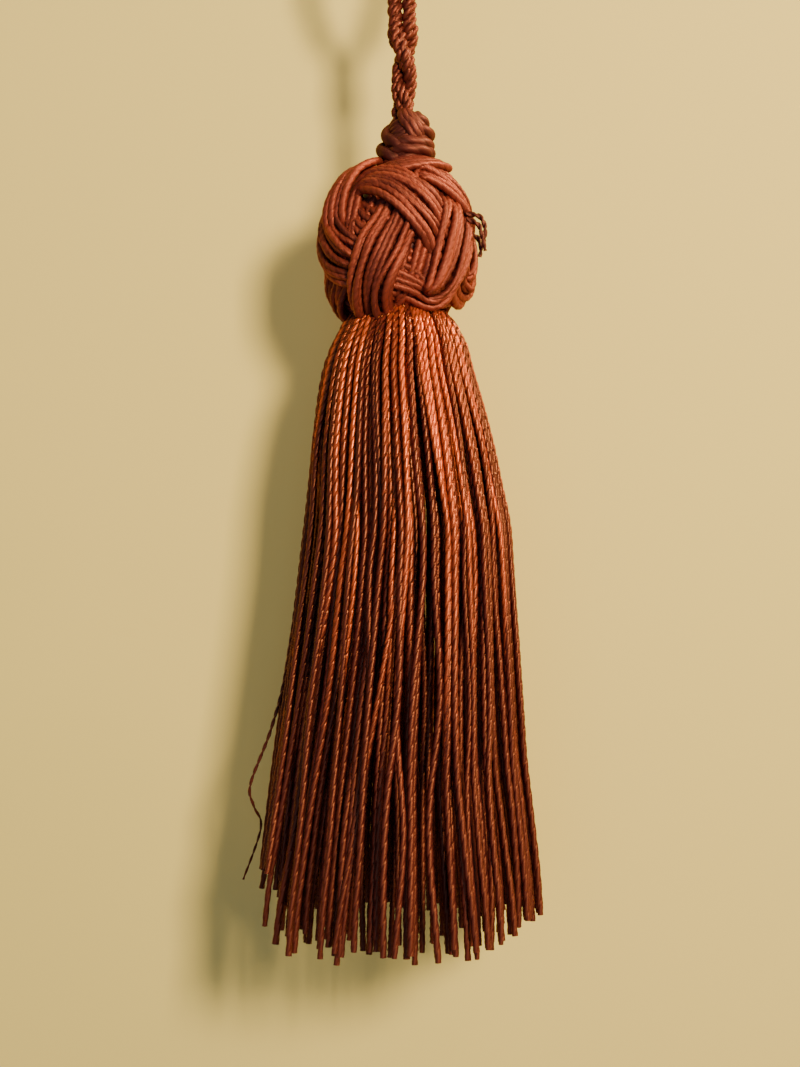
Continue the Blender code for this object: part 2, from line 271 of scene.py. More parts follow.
def yarn_surface_group():
    """Colour, roughness and normal of a satin yarn, from its section and its run.

    The filaments of a balanced yarn lie nearly along it, whatever its plies do, so
    the normal is turned back towards square to the yarn by the amount Straight.
    Along the yarn's run, Fade flattens the beads of its plies, and the dulling amount
    roughens its gloss and also darkens its colour: painted shade, deeper down the run.
    The colour is also darkened in the groove between the plies, as painted shade.
    """
    tree = bpy.data.node_groups.new("yarn_surface", "ShaderNodeTree")
    face = tree.interface
    for name in ("Deep", "Lit"):
        face.new_socket(name, in_out="INPUT", socket_type="NodeSocketColor")
    for name in ("Filaments", "Run", "Relief", "Groove", "Beads", "Fade", "Straight", "Dull"):
        face.new_socket(name, in_out="INPUT", socket_type="NodeSocketFloat")
    face.new_socket("Base Roughness", in_out="INPUT", socket_type="NodeSocketFloat")
    face.new_socket("Color", in_out="OUTPUT", socket_type="NodeSocketColor")
    face.new_socket("Normal", in_out="OUTPUT", socket_type="NodeSocketVector")
    face.new_socket("Roughness", in_out="OUTPUT", socket_type="NodeSocketFloat")
    link = tree.links.new
    given = node(tree, "NodeGroupInput").outputs
    result = node(tree, "NodeGroupOutput").inputs
    section = node(tree, "ShaderNodeAttribute", attribute_name="section")
    along = node(tree, "ShaderNodeAttribute", attribute_name="along")
    tone = node(tree, "ShaderNodeAttribute", attribute_name="tone")
    across = node(tree, "ShaderNodeSeparateXYZ")
    link(section.outputs["Vector"], across.inputs[0])
    place = node(tree, "ShaderNodeCombineXYZ")
    link(maths(tree, "MULTIPLY", across.outputs["X"], given["Filaments"]), place.inputs["X"])
    link(maths(tree, "MULTIPLY", across.outputs["Y"], given["Filaments"]), place.inputs["Y"])
    length = maths(tree, "MULTIPLY", along.outputs["Fac"], given["Run"])
    apart = maths(tree, "MULTIPLY", tone.outputs["Fac"], FILAMENT_OFFSET)
    link(maths(tree, "ADD", length, apart), place.inputs["Z"])
    filaments = node(tree, "ShaderNodeTexNoise")
    filaments.inputs["Scale"].default_value = 1.0
    filaments.inputs["Detail"].default_value = 2.0
    filaments.inputs["Roughness"].default_value = 0.55
    link(place.outputs[0], filaments.inputs["Vector"])
    height = filaments.outputs["Fac"]
    shade = maths(tree, "ADD", maths(tree, "MULTIPLY", height, FILAMENT_CONTRAST), SHADE_START)
    toned = maths(tree, "MULTIPLY", tone.outputs["Fac"], TONE_CONTRAST)
    shade = maths(tree, "ADD", shade, toned)
    # Painted shade: the colour darkens further along the run, by the same amount that roughens the
    # gloss.
    dulling_and_run_shade = maths(tree, "MULTIPLY", along.outputs["Fac"], given["Dull"])
    shade = maths(tree, "SUBTRACT", shade, maths(tree, "MULTIPLY", dulling_and_run_shade, RUN_PAINTED_SHADE))
    mixed = node(tree, "ShaderNodeMix", data_type="RGBA", clamp_factor=True)
    link(shade, mixed.inputs[0])
    link(given["Deep"], mixed.inputs[6])
    link(given["Lit"], mixed.inputs[7])
    bead = node(tree, "ShaderNodeMapRange", interpolation_type="SMOOTHSTEP")
    link(maths(tree, "ABSOLUTE", across.outputs["X"]), bead.inputs["Value"])
    bead.inputs["From Min"].default_value = 0.0
    bead.inputs["From Max"].default_value = 0.5
    faded = maths(tree, "ADD", 1.0, maths(tree, "MULTIPLY", along.outputs["Fac"], given["Fade"]))
    # Painted shade in the groove between the plies, less of it further down the run.
    in_groove = maths(tree, "SUBTRACT", 1.0, bead.outputs["Result"])
    groove_painted_shade = maths(tree, "DIVIDE", maths(tree, "MULTIPLY", in_groove, given["Groove"]), faded)
    dulled = node(tree, "ShaderNodeMix", data_type="RGBA", blend_type="MULTIPLY")
    dulled.inputs[0].default_value = 1.0
    link(mixed.outputs[2], dulled.inputs[6])
    link(maths(tree, "SUBTRACT", 1.0, groove_painted_shade), dulled.inputs[7])
    link(dulled.outputs[2], result["Color"])
    lay = node(tree, "ShaderNodeAttribute", attribute_name="lay")
    lay_here = node(
        tree,
        "ShaderNodeVectorTransform",
        vector_type="VECTOR",
        convert_from="OBJECT",
        convert_to="WORLD",
    )
    link(lay.outputs["Vector"], lay_here.inputs[0])
    lay_unit = vector_maths(tree, "NORMALIZE", lay_here.outputs[0]).outputs[0]
    facing = node(tree, "ShaderNodeNewGeometry").outputs["Normal"]
    leaning = vector_maths(tree, "DOT_PRODUCT", facing, lay_unit).outputs["Value"]
    taken = vector_maths(tree, "SCALE", lay_unit)
    link(maths(tree, "MULTIPLY", leaning, given["Straight"]), taken.inputs["Scale"])
    squared = vector_maths(tree, "SUBTRACT", facing, taken.outputs[0])
    bump = node(tree, "ShaderNodeBump")
    bump.inputs["Distance"].default_value = FILAMENT_DEPTH
    link(given["Relief"], bump.inputs["Strength"])
    link(height, bump.inputs["Height"])
    beaded = node(tree, "ShaderNodeBump")
    beaded.inputs["Distance"].default_value = BEAD_DEPTH
    link(maths(tree, "DIVIDE", given["Beads"], faded), beaded.inputs["Strength"])
    link(bead.outputs["Result"], beaded.inputs["Height"])
    link(vector_maths(tree, "NORMALIZE", squared.outputs[0]).outputs[0], beaded.inputs["Normal"])
    link(beaded.outputs[0], bump.inputs["Normal"])
    link(bump.outputs[0], result["Normal"])
    link(maths(tree, "ADD", given["Base Roughness"], dulling_and_run_shade), result["Roughness"])
    return tree


YARN_SURFACE = yarn_surface_group()


def yarn_finish(name, deep, lit, roughness, gloss_tint, **surface_values):
    """A satin yarn: coloured gloss over dyed filaments, its colour carrying painted shade."""
    material = bpy.data.materials.new(name)
    material.use_nodes = True
    tree = material.node_tree
    shader = tree.nodes["Principled BSDF"]
    surface = node(tree, "ShaderNodeGroup", node_tree=YARN_SURFACE)
    surface.inputs["Deep"].default_value = (*deep, 1)
    surface.inputs["Lit"].default_value = (*lit, 1)
    for key, value in surface_values.items():
        surface.inputs[key.capitalize()].default_value = value
    tree.links.new(surface.outputs["Color"], shader.inputs["Base Color"])
    tree.links.new(surface.outputs["Normal"], shader.inputs["Normal"])
    tree.links.new(surface.outputs["Roughness"], shader.inputs["Roughness"])
    surface.inputs["Base Roughness"].default_value = roughness
    shader.inputs["Metallic"].default_value = SATIN_METALLIC
    shader.inputs["Specular IOR Level"].default_value = SATIN_SPECULAR
    shader.inputs["Specular Tint"].default_value = (*gloss_tint, 1)
    return material


def smooth_through(points, count):
    """Points spaced evenly in parameter along a Catmull-Rom curve through these."""
    points = np.asarray(points, float)
    padded = np.vstack([2 * points[0] - points[1], points, 2 * points[-1] - points[-2]])
    places = np.linspace(0, len(points) - 1, count)
    index = np.minimum(places.astype(int), len(points) - 2)
    t = (places - index)[:, None]
    before, start, end, after = (padded[index + k] for k in range(4))
    return 0.5 * (
        2 * start
        + (end - before) * t
        + (2 * before - 5 * start + 4 * end - after) * t**2
        + (3 * start - before - 3 * end + after) * t**3
    )


def leg_route(start_angle):
    """One twisted leg from the neck wrap up, and its radius at each point."""
    table = {name: np.array(values, float) for name, values in zip(LEG_COLUMNS, zip(*LEG_ROWS))}
    heights = np.linspace(table["height"][0], table["height"][-1], LEG_POINTS)
    angle = np.radians(np.interp(heights, table["height"], table["angle"]) + start_angle)
    stand_off = np.interp(heights, table["height"], table["stand_off"])
    radius = np.interp(heights, table["height"], table["radius"])
    centre = np.interp(heights, table["height"][[0, -1]], (NECK_X / MM, 0.0))
    x = centre + stand_off * np.cos(angle)
    return np.stack([x, stand_off * np.sin(angle), heights], 1) * MM, radius * MM


def frames_along(points):
    """Two unit directions across a path at each point, turning as little as can be."""
    ahead = np.gradient(points, axis=0)
    ahead /= np.linalg.norm(ahead, axis=1)[:, None]
    side = np.zeros_like(points)
    start = np.cross(ahead[0], (0.0, 1.0, 0.0))
    side[0] = start / np.linalg.norm(start)
    for k in range(1, len(points)):
        carried = side[k - 1] - ahead[k] * (side[k - 1] @ ahead[k])
        side[k] = carried / np.linalg.norm(carried)
    return side, np.cross(ahead, side)


def run_of(points):
    """The length of the path up to each of its points."""
    return np.concatenate([[0], np.cumsum(np.linalg.norm(np.diff(points, axis=0), axis=1))])


left_leg, left_radius = leg_route(0)
right_leg, right_radius = leg_route(180)
eye_left = np.array(EYE_POINTS) * MM
eye_right = (eye_left * (-1, -1, 1))[::-1]
loop_points = np.vstack(
    [left_leg, eye_left, [(0, 0, EYE_TOP_RADIUS)], eye_right, right_leg[::-1]]
)
loop_radii = np.concatenate(
    [left_radius, np.full(2 * len(eye_left) + 1, EYE_TOP_RADIUS), right_radius[::-1]]
)
into_wrap = np.array((0, 0, -LEG_INTO_WRAP))
loop_points = np.vstack([loop_points[0] + into_wrap, loop_points, loop_points[-1] + into_wrap])
loop_radii = np.concatenate([loop_radii[:1], loop_radii, loop_radii[-1:]])
loop_path = smooth_through(loop_points, LOOP_STEPS)
loop_radius = smooth_through(loop_radii[:, None], LOOP_STEPS)[:, 0]
loop_run = run_of(loop_path)
loop_side, loop_up = frames_along(loop_path)

chance = np.random.default_rng(5)
fine_cords = []
for index in range(FINE_CORDS):
    knots = np.linspace(0, loop_run[-1], WANDER_KNOTS)
    wander = np.interp(loop_run, knots, chance.normal(0, FINE_CORD_WANDER, WANDER_KNOTS))
    turn = math.tau * (loop_run / FINE_CORD_PITCH + index / FINE_CORDS) + wander
    out = FINE_CORD_STAND_OFF * loop_radius * (1 + FINE_CORD_SWELL * np.sin(3 * turn + index))
    line = loop_path + out[:, None] * (
        np.cos(turn)[:, None] * loop_side + np.sin(turn)[:, None] * loop_up
    )
    pressed = 1 - np.interp(loop_path[:, 2] / MM, PRESSED_HEIGHTS, PRESSED_SHARES)
    line[:, :2] = line[:, :2] * pressed[:, None]
    fanned = np.clip((FAN_TOP - loop_path[:, 2]) / FAN_HEIGHT, 0, 1)
    line[:, 0] += fanned * (index - (FINE_CORDS - 1) / 2) * FAN_SPACING
    fine_cords.append(
        {
            "points": line,
            "thickness": THINNEST_SHARE + (1 - THINNEST_SHARE) * loop_radius / EYE_TOP_RADIUS,
            "tone": chance.uniform(0.3, 0.8),
            "phase": chance.uniform(0, 1),
        }
    )

loop_yarn = yarn_finish(
    "loop_yarn",
    deep=(0.070, 0.010, 0.008),
    lit=(0.13, 0.021, 0.012),
    beads=0.3,
    filaments=4.0,
    run=420.0,
    relief=0.5,
    groove=0.5,
    straight=0.40,
    roughness=0.46,
    gloss_tint=(1.0, 0.40, 0.20),
)
hanging_loop = spun(
    "hanging_loop_cords",
    fine_cords,
    loop_yarn,
    half_width=FINE_CORD_HALF_WIDTH,
    ply_pitch=PLY_PITCH,
    step=0.30 * MM,
    ring_points=12,
    waist=0.66,
)
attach(hanging_loop, "root")
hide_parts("hanging_loop")


# The neck wrap. Where the legs enter the head they are bound with their own cord:
# slanting turns that widen towards the ball, then a few passes that cross over
# them at the right front and end in rolls above the ball.
NECK_TOP = -30.9 * MM
NECK_BOTTOM = -37.4 * MM
NECK_TOP_RADIUS = 1.75 * MM
NECK_BOTTOM_RADIUS = 3.3 * MM
NECK_SWELL = 0.25 * MM
NECK_CORD_HALF_WIDTH = 0.62 * MM
NECK_CORD_SUNK = 0.5
NECK_CORD_SWOLLEN = 1.15
NECK_SLANT = 1.15 * MM
NECK_TURNS = 3.3
NECK_TURN_POINTS = 28
NECK_TURN_THICKNESS = 0.85
NECK_TURN_STARTS = (0.0, 0.33, 0.67)
NECK_TURN_TONES = (0.05, 0.25, 0.15)
NECK_PASS_COLUMNS = ("from_angle", "to_angle", "from_z", "to_z", "proud", "thickness", "tone")
NECK_PASS_ROWS = (
    (-118, -62, -30.7, -34.9, 0.55, 0.80, 0.90),
    (-104, -50, -30.6, -34.6, 0.75, 0.80, 1.00),
    (-90, -36, -30.6, -34.2, 0.70, 0.80, 0.85),
    (-76, -22, -30.8, -33.8, 0.55, 0.80, 0.70),
    (-60, 70, -31.4, -32.6, 0.55, 1.05, 0.35),
    (-70, 60, -33.0, -33.9, 0.75, 1.10, 0.45),
    (-112, 40, -34.9, -35.1, 0.50, 1.05, 0.75),
    (-128, 30, -36.0, -36.1, 0.45, 1.05, 0.55),
    (-215, -100, -32.2, -35.8, 0.25, 1.20, 0.20),
    (-235, -115, -34.0, -37.2, 0.35, 1.25, 0.15),
)


def neck_radius(z):
    """How far from the wrap's axis the middle of a cord lies at this height."""
    share = np.clip((z - NECK_BOTTOM) / (NECK_TOP - NECK_BOTTOM), 0, 1)
    cone = NECK_BOTTOM_RADIUS + (NECK_TOP_RADIUS - NECK_BOTTOM_RADIUS) * share
    swell = NECK_SWELL * np.sin(math.pi * share)
    return cone + swell - NECK_CORD_HALF_WIDTH * NECK_CORD_SUNK


def neck_turns(first_turn, turns):
    """One of the slanting cords wound from the ball up to the legs."""
    count = int(NECK_TURN_POINTS * turns)
    angle = np.linspace(first_turn, first_turn + turns, count) * math.tau
    share = np.linspace(0.04, 0.92, len(angle))
    z = NECK_BOTTOM + (NECK_TOP - NECK_BOTTOM) * share
    radius = neck_radius(z)
    z = z + NECK_SLANT * np.cos(angle) * np.sin(math.pi * np.clip(share, 0.15, 0.85))
    return np.stack([NECK_X + radius * np.cos(angle), radius * np.sin(angle), z], 1)


def neck_pass(from_angle, to_angle, from_z, to_z, proud):
    """A pass over the turns, lifted between its two tucked-in ends."""
    share = np.linspace(0, 1, 16)
    angle = np.radians(from_angle + (to_angle - from_angle) * share)
    z = (from_z + (to_z - from_z) * share) * MM
    lift = (proud + 0.35) * MM * np.sin(math.pi * share) ** 0.5 - 0.25 * MM
    radius = neck_radius(z) + lift
    return np.stack([NECK_X + radius * np.cos(angle), radius * np.sin(angle), z], 1)


neck_routes = [
    {
        "points": neck_turns(start, NECK_TURNS),
        "tone": tone,
        "phase": start,
        "thickness": NECK_TURN_THICKNESS,
    }
    for start, tone in zip(NECK_TURN_STARTS, NECK_TURN_TONES)
]
for row in NECK_PASS_ROWS:
    made = dict(zip(NECK_PASS_COLUMNS, row))
    thickness, tone = made.pop("thickness"), made.pop("tone")
    neck_routes.append({"points": neck_pass(**made), "tone": tone, "thickness": thickness})
neck_yarn = yarn_finish(
    "neck_yarn",
    deep=(0.045, 0.007, 0.007),
    lit=(0.10, 0.017, 0.012),
    beads=0.05,
    filaments=5.0,
    run=260.0,
    relief=0.6,
    groove=0.4,
    straight=0.3,
    roughness=0.52,
    gloss_tint=(1.0, 0.40, 0.22),
)
neck_wrap = spun(
    "neck_wrap_turns",
    neck_routes,
    neck_yarn,
    half_width=NECK_CORD_HALF_WIDTH * NECK_CORD_SWOLLEN,
    ply_pitch=4.6 * MM,
    step=0.24 * MM,
    ring_points=12,
    waist=0.88,
)
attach(neck_wrap, "root")
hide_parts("neck_wrap")


# The head. A Turk's-head knot of three leads and five bights in fine satin cord,
# ten passes to a band, worked up round the bound top until it is a ball. A first
# round of passes fills the gaps from beneath. Its crown leans to the left.
HEAD_X = -0.40 * MM
HEAD_CENTRE = -48.8 * MM
HEAD_RADIUS = 9.75 * MM
HEAD_RISE = 11.5 * MM
HEAD_DROP = 11.1 * MM
HEAD_FULLNESS_BELOW = 2.3
KNOT_LEADS = 3
KNOT_BIGHTS = 5
KNOT_SWING = math.radians(43)
KNOT_SWING_THIRD = math.radians(4)
KNOT_START = math.radians(-26.4)
KNOT_LEAN = math.radians(-22)
KNOT_POINTS = 620
KNOT_JOIN = 0.30
ROUND_COLUMNS = (
    "cords", "spacing_deg", "lift", "sink", "start_deg", "half_width", "step", "wander", "pushed"
)
ROUND_ROWS = (
    (10, 3.7, 0.66, 0.00, 0.0, 0.50, 0.34, 1.25, 1.0),
    (6, 6.0, 0.25, 1.30, 36.0, 0.60, 0.50, 1.5, 0.0),
)
PUSHED_COLUMNS = ("turn_deg", "reach_deg", "shift_deg", "narrowing")
PUSHED_ROWS = (
    (9, 9, 14, 0.30),
    (120, 12, 6, 0.00),
    (247, 10, 7, 0.25),
)
PAIRING = 0.17
BAND_CROWN = 0.34 * MM
BIGHT_CROWDING = 0.45
CORD_WANDER = math.radians(1.1)
CORD_UNEVEN = 0.17 * MM
HEAD_PLY_PITCH = 2.3 * MM
HEAD_WAIST = 0.90
HEAD_RING_POINTS = 10


def ball_point(directions, relief):
    """The ball's surface: an upright oval, fuller below its middle."""
    upper = directions[:, 2] >= 0
    power = np.where(upper, 1.0, 2 / HEAD_FULLNESS_BELOW)
    level = np.maximum(np.hypot(directions[:, 0], directions[:, 1]), 1e-3)
    out = level ** (power - 1)
    rise = np.where(upper, HEAD_RISE, HEAD_DROP)
    x = directions[:, 0] * out * (HEAD_RADIUS + relief)
    y = directions[:, 1] * out * (HEAD_RADIUS + relief)
    z = np.sign(directions[:, 2]) * np.abs(directions[:, 2]) ** power * (rise + relief)
    return np.stack([x + HEAD_X, y, z + HEAD_CENTRE], 1)


def knot_direction(turn, start):
    """Unit directions from the ball's centre along the middle of the knot's band."""
    wave = KNOT_BIGHTS * turn
    longitude = KNOT_LEADS * turn + start
    latitude = KNOT_SWING * np.cos(wave) + KNOT_SWING_THIRD * np.cos(3 * wave)
    x = np.cos(latitude) * np.sin(longitude)
    y = -np.cos(latitude) * np.cos(longitude)
    z = np.sin(latitude)
    lean_x = x * math.cos(KNOT_LEAN) + z * math.sin(KNOT_LEAN)
    lean_z = z * math.cos(KNOT_LEAN) - x * math.sin(KNOT_LEAN)
    return np.stack([lean_x, y, lean_z], 1)


def smooth_noise(count, knots, size, chance):
    """A gentle random wave of this size, sampled at count points."""
    values = chance.normal(0, size, (knots, 1))
    return smooth_through(values, count)[:, 0]


def knot_round(cords, spacing_deg, lift, sink, start_deg, wander, pushed, chance):
    """The passes of one round of the knot, side by side in its band."""
    turn = np.linspace(0, math.tau, KNOT_POINTS) + math.tau * KNOT_JOIN
    middle = knot_direction(turn, KNOT_START + math.radians(start_deg))
    heading = np.gradient(middle, axis=0)
    heading /= np.linalg.norm(heading, axis=1)[:, None]
    aside = np.cross(middle, heading)
    wave = KNOT_BIGHTS * turn
    over = np.sin(2 * wave)
    over = 1.08 * over / np.sqrt(over**2 + 0.18)
    # At a bight the passes on the inside of the turn crowd together.
    at_bight = np.cos(wave) ** 6 * np.sign(np.cos(wave))
    shift, width = np.zeros(KNOT_POINTS), np.ones(KNOT_POINTS)
    for row in PUSHED_ROWS:
        push = dict(zip(PUSHED_COLUMNS, row))
        away = (turn - math.radians(push["turn_deg"]) + math.pi) % math.tau - math.pi
        near = pushed * np.exp(-((away / math.radians(push["reach_deg"])) ** 2))
        shift += near * math.radians(push["shift_deg"])
        width *= 1 - near * push["narrowing"]
    routes = []
    for index in range(cords):
        place = index - (cords - 1) / 2 + PAIRING * (-1) ** index
        crowded = np.clip(-np.sign(place) * at_bight, 0, None) * BIGHT_CROWDING
        offset = place * math.radians(spacing_deg) * (1 - crowded) * width + shift
        offset = offset + smooth_noise(KNOT_POINTS, 40, CORD_WANDER * wander, chance)
        direction = middle + np.tan(offset)[:, None] * aside
        direction /= np.linalg.norm(direction, axis=1)[:, None]
        share = 2 * place / cords
        relief = lift * MM * over - BAND_CROWN * share**2 - sink * MM
        relief = relief + smooth_noise(KNOT_POINTS, 56, CORD_UNEVEN * wander, chance)
        routes.append(
            {
                "points": ball_point(direction, relief),
                "tone": chance.uniform(0.1, 0.9),
                "phase": chance.uniform(0, 1),
                "thickness": chance.uniform(0.86, 1.08)
                + smooth_noise(KNOT_POINTS, 60, 0.06, chance),
            }
        )
    return routes


head_yarn = yarn_finish(
    "head_yarn",
    deep=(0.085, 0.013, 0.011),
    lit=(0.29, 0.047, 0.024),
    beads=0.06,
    filaments=7.0,
    run=300.0,
    relief=1.0,
    groove=0.28,
    straight=0.45,
    roughness=0.42,
    gloss_tint=(1.0, 0.40, 0.20),
)
chance = np.random.default_rng(17)
head_rounds = []
for name, row in zip(("head_knot_bands", "head_knot_first_round"), ROUND_ROWS):
    made = dict(zip(ROUND_COLUMNS, row))
    half_width, step = made.pop("half_width"), made.pop("step")
    head_rounds.append(
        spun(
            name,
            knot_round(**made, chance=chance),
            head_yarn,
            half_width=half_width * MM,
            ply_pitch=HEAD_PLY_PITCH,
            step=step * MM,
            ring_points=HEAD_RING_POINTS,
            waist=HEAD_WAIST,
        )
    )

# At the upper left the band's bight stands up from the ball in a knuckle of
# cords, and the wrap's lowest turns spread over the crown.
KNUCKLE_POINTS = (
    (-7.6, -3.6, -48.4),
    (-8.8, -4.9, -45.8),
    (-8.3, -5.2, -42.4),
    (-6.8, -4.5, -39.6),
    (-4.9, -2.6, -38.2),
    (-4.2, 0.4, -38.0),
    (-5.2, 3.4, -39.4),
    (-7.0, 5.2, -42.2),
)
KNUCKLE_CORDS = 4
KNUCKLE_SPREAD = (0.80, -0.35, 0.30)
CROWN_COLUMNS = ("radius", "z", "from_angle", "to_angle", "tilt")
CROWN_ROWS = (
    (3.1, -37.3, 100, 330, 0.4),
    (3.9, -37.9, 95, 345, 0.7),
    (4.8, -38.4, 90, 350, 0.9),
    (5.7, -39.0, 110, 340, 1.1),
    (3.6, -37.8, -60, 110, -0.3),
    (4.7, -38.7, -70, 100, -0.4),
)
CROWN_POINTS = 40
CROWN_HALF_WIDTH = 0.55 * MM
crown_routes = []
for index in range(KNUCKLE_CORDS):
    knuckle = smooth_through(np.array(KNUCKLE_POINTS) * MM, CROWN_POINTS)
    across = (index - (KNUCKLE_CORDS - 1) / 2) * MM
    knuckle = knuckle + np.array(KNUCKLE_SPREAD) * across
    strayed = [smooth_noise(CROWN_POINTS, 6, 0.12 * MM, chance) for axis in range(3)]
    knuckle = knuckle + np.stack(strayed, 1)
    crown_routes.append({"points": knuckle, "tone": chance.uniform(0.2, 0.8)})
for row in CROWN_ROWS:
    made = dict(zip(CROWN_COLUMNS, row))
    share = np.linspace(0, 1, CROWN_POINTS)
    angle = np.radians(made["from_angle"] + (made["to_angle"] - made["from_angle"]) * share)
    tucked = 0.9 * np.clip(np.abs(share - 0.5) * 2 - 0.7, 0, 1)
    reach = (made["radius"] + 0.9 * tucked + smooth_noise(CROWN_POINTS, 6, 0.08, chance)) * MM
    height = (made["z"] + made["tilt"] * np.cos(angle) - tucked * 1.6) * MM
    crown = np.stack([NECK_X + reach * np.cos(angle), reach * np.sin(angle), height], 1)
    crown_routes.append({"points": crown, "tone": chance.uniform(0.1, 0.5), "thickness": 1.05})
head_crown = spun(
    "head_crown_cords",
    crown_routes,
    head_yarn,
    half_width=CROWN_HALF_WIDTH,
    ply_pitch=HEAD_PLY_PITCH,
    step=0.34 * MM,
    ring_points=HEAD_RING_POINTS,
    waist=HEAD_WAIST,
)

# Under the passes is the tassel's own bound top, a ball of wound yarn. Its colour is
# painted shade, a much darker copy of the yarn's, so it shows dark in the gaps.
CORE_RINGS = 24
CORE_SIDES = 48
CORE_SINK = 1.9 * MM
core_directions = []
for ring in range(1, CORE_RINGS):
    polar = math.pi * ring / CORE_RINGS
    for side in range(CORE_SIDES):
        angle = math.tau * side / CORE_SIDES
        level = math.sin(polar)
        core_directions.append((level * math.cos(angle), level * math.sin(angle), math.cos(polar)))
core_points = ball_point(np.array(core_directions), np.full(len(core_directions), -CORE_SINK))
core_faces = []
for ring in range(CORE_RINGS - 2):
    for side in range(CORE_SIDES):
        after = (side + 1) % CORE_SIDES
        high, low = ring * CORE_SIDES, (ring + 1) * CORE_SIDES
        core_faces.append((high + side, low + side, low + after, high + after))
core_faces.append(tuple(range(CORE_SIDES)))
core_faces.append(tuple(len(core_points) - 1 - k for k in range(CORE_SIDES)))
core_mesh = bpy.data.meshes.new("head_core")
core_mesh.from_pydata(core_points.tolist(), [], core_faces)
core_mesh.shade_smooth()
core_painted_shade_yarn = bpy.data.materials.new("core_painted_shade_yarn")
core_painted_shade_yarn.use_nodes = True
core_tree = core_painted_shade_yarn.node_tree
core_shader = core_tree.nodes["Principled BSDF"]
core_streaks = node(core_tree, "ShaderNodeTexNoise")
core_streaks.inputs["Scale"].default_value = 1400
core_place = node(core_tree, "ShaderNodeTexCoord")
core_tree.links.new(core_place.outputs["Object"], core_streaks.inputs["Vector"])
core_mix = node(core_tree, "ShaderNodeMix", data_type="RGBA")
# Painted shade: both streak colours are darker than the yarn's own lit colour.
core_mix.inputs[6].default_value = (0.05, 0.008, 0.005, 1)
core_mix.inputs[7].default_value = (0.14, 0.025, 0.013, 1)
core_tree.links.new(core_streaks.outputs["Fac"], core_mix.inputs[0])
core_tree.links.new(core_mix.outputs[2], core_shader.inputs["Base Color"])
core_shader.inputs["Roughness"].default_value = 0.75
core_mesh.materials.append(core_painted_shade_yarn)
head_core = bpy.data.objects.new("head_core", core_mesh)
bpy.context.scene.collection.objects.link(head_core)

# The cord's three tails are cut short where they come out of the knot at the
# right.
TAIL_ROUTES = (
    ((8.4, -3.2, -44.6), (10.2, -3.4, -45.0), (10.9, -3.6, -46.6), (10.7, -3.4, -48.6)),
    ((8.6, -3.6, -45.4), (10.0, -4.0, -46.2), (10.5, -4.1, -47.8), (10.9, -3.9, -49.6)),
    ((8.4, -2.4, -46.8), (9.9, -2.6, -47.6), (10.4, -2.8, -49.0), (10.2, -2.8, -50.2)),
)
TAIL_HALF_WIDTH = 0.42 * MM
tail_routes = [
    {"points": np.array(rows) * MM, "tone": 0.1, "thickness": np.linspace(1, 0.7, len(rows))}
    for rows in TAIL_ROUTES
]
tails = spun(
    "head_cord_tails",
    tail_routes,
    neck_yarn,
    half_width=TAIL_HALF_WIDTH,
    ply_pitch=PLY_PITCH,
    step=0.25 * MM,
    ring_points=10,
    waist=0.5,
)
for piece in (*head_rounds, head_crown, head_core, tails):
    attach(piece, "root")
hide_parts("head_knot")


# The skirt. Some two hundred and forty glossy two-ply viscose strands, bound at
# the root under the head, turned down over it and left to hang. They were cut
# level by hand, and have since gathered into loose locks.
ROOT_TOP = -58.5 * MM
SKIRT_COLUMNS = ("drop", "radius", "centre_x")
SKIRT_ROWS = (
    (-1.6, 5.6, -0.4),
    (0.2, 7.3, -0.4),
    (3.0, 8.8, -0.4),
    (6.5, 9.8, -0.5),
    (14.5, 11.7, -0.1),
    (26.5, 13.3, 0.6),
    (42.5, 14.9, 0.1),
    (58.5, 16.5, -0.5),
    (74.5, 18.7, -0.5),
    (88.0, 19.6, -0.4),
)
STRAND_HALF_WIDTH = 0.43 * MM
UNTWIST = 5
HEM_DROP = 80.2 * MM
HEM_UNEVEN = 0.60 * MM
HEM_UNEVEN_LIMITS = (-2.2 * MM, 1.6 * MM)
HEM_SHORT_COLUMNS = ("side", "short", "starts_at", "steepness")
HEM_SHORT_ROWS = (
    (-1, 8.5 * MM, 0.82, 7),
    (1, 2.0 * MM, 0.66, 3),
)
LOCKS = 27
LOCK_PULLS = (0.72, 0.48, 0.2, 0.0, 0.0, 0.0)
CROSSING_SHARE = 0.25
CROSSING_LEAN = 0.24
LEFT_LEAN = 0.19
STRAND_POINTS = 15
STRAND_LEAN = 0.05
STRAND_WAVER = 0.02
STRAND_SWAY = 0.24 * MM
STRAND_WAIST = 0.84
RING_COLUMNS = ("strands", "inset", "step_mm", "ring_points")
RING_ROWS = (
    (58, 0.000, 0.34, 10),
    (52, 0.080, 0.38, 8),
    (44, 0.165, 0.46, 8),
    (36, 0.260, 0.60, 6),
    (28, 0.380, 0.90, 6),
    (22, 0.530, 1.00, 6),
)

chance = np.random.default_rng(29)
lock_angles = [
    (np.arange(LOCKS) + 0.5 * (ring % 2) + chance.uniform(-0.34, 0.34, LOCKS)) * math.tau / LOCKS
    for ring in range(len(RING_ROWS))
]
skirt_table = {
    name: np.array(values, float) * MM for name, values in zip(SKIRT_COLUMNS, zip(*SKIRT_ROWS))
}


def lock_pull(angle, ring):
    """How far a strand at this angle is drawn towards its ring's nearest lock."""
    away = (lock_angles[ring] - angle + math.pi) % math.tau - math.pi
    return away[np.abs(away).argmin()]


